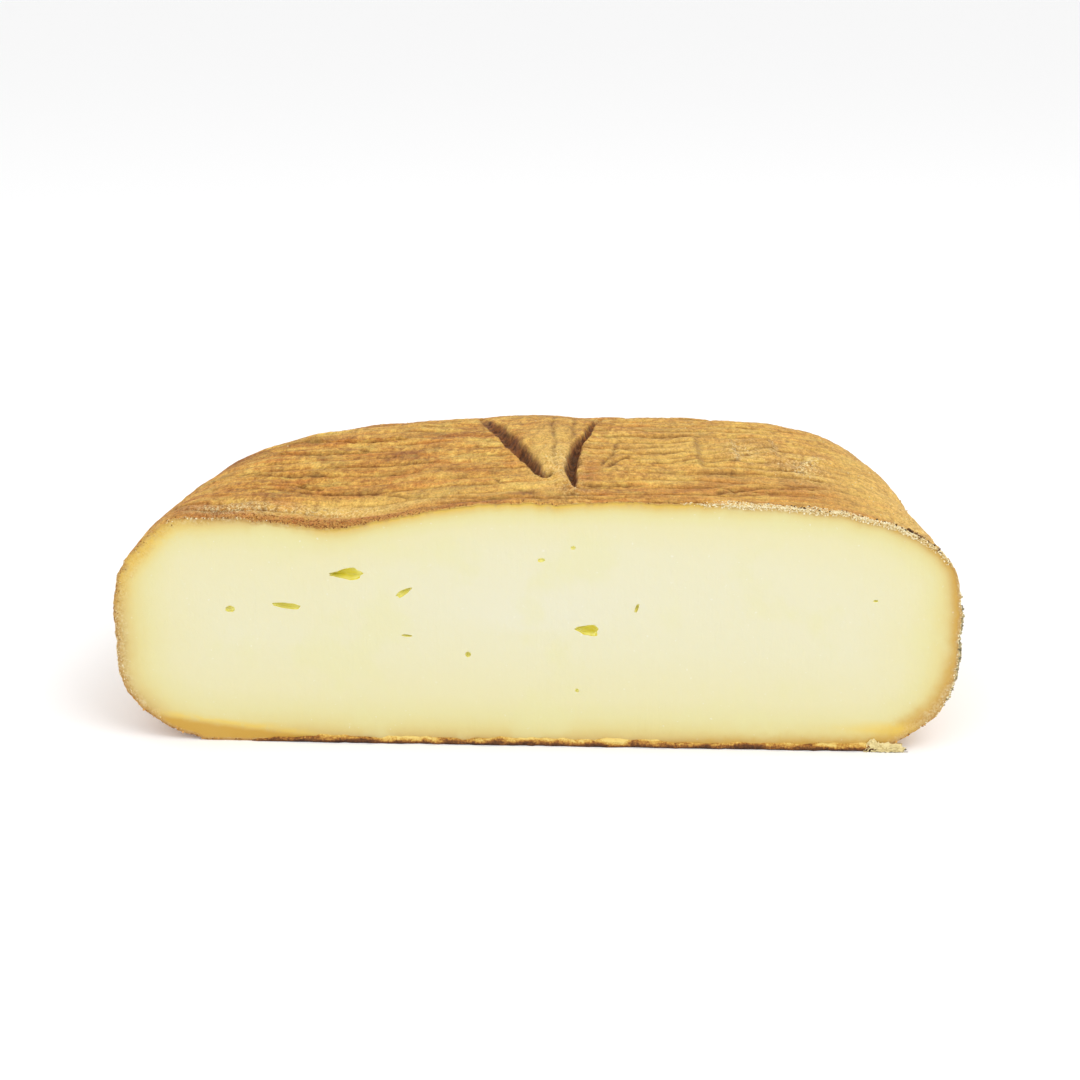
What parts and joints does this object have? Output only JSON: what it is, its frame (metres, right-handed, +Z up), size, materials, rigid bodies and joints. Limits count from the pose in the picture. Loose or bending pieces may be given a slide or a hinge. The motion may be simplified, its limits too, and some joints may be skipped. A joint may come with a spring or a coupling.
{
  "type": "half of a mahon cheese",
  "caption": "Half of a square cloth-pressed cow's milk cheese with rounded edges, a brown folded rind and a pale cut face with small eyes.",
  "frame": {"origin": "centre of the half cheese's bounding box in plan, on the base plane that it stands on", "axes": "+X to the right along the cut face, +Y from the cut face towards the back, +Z up"},
  "size_m": [0.2106, 0.1074, 0.0667],
  "materials": {
    "rind": "dry rough rind, golden brown with darker creases and pale mould",
    "paste": "smooth pale cut paste, yellower towards the rind"
  },
  "bodies": {
    "root": {"cheese_half": "rind"}
  },
  "joints": []
}
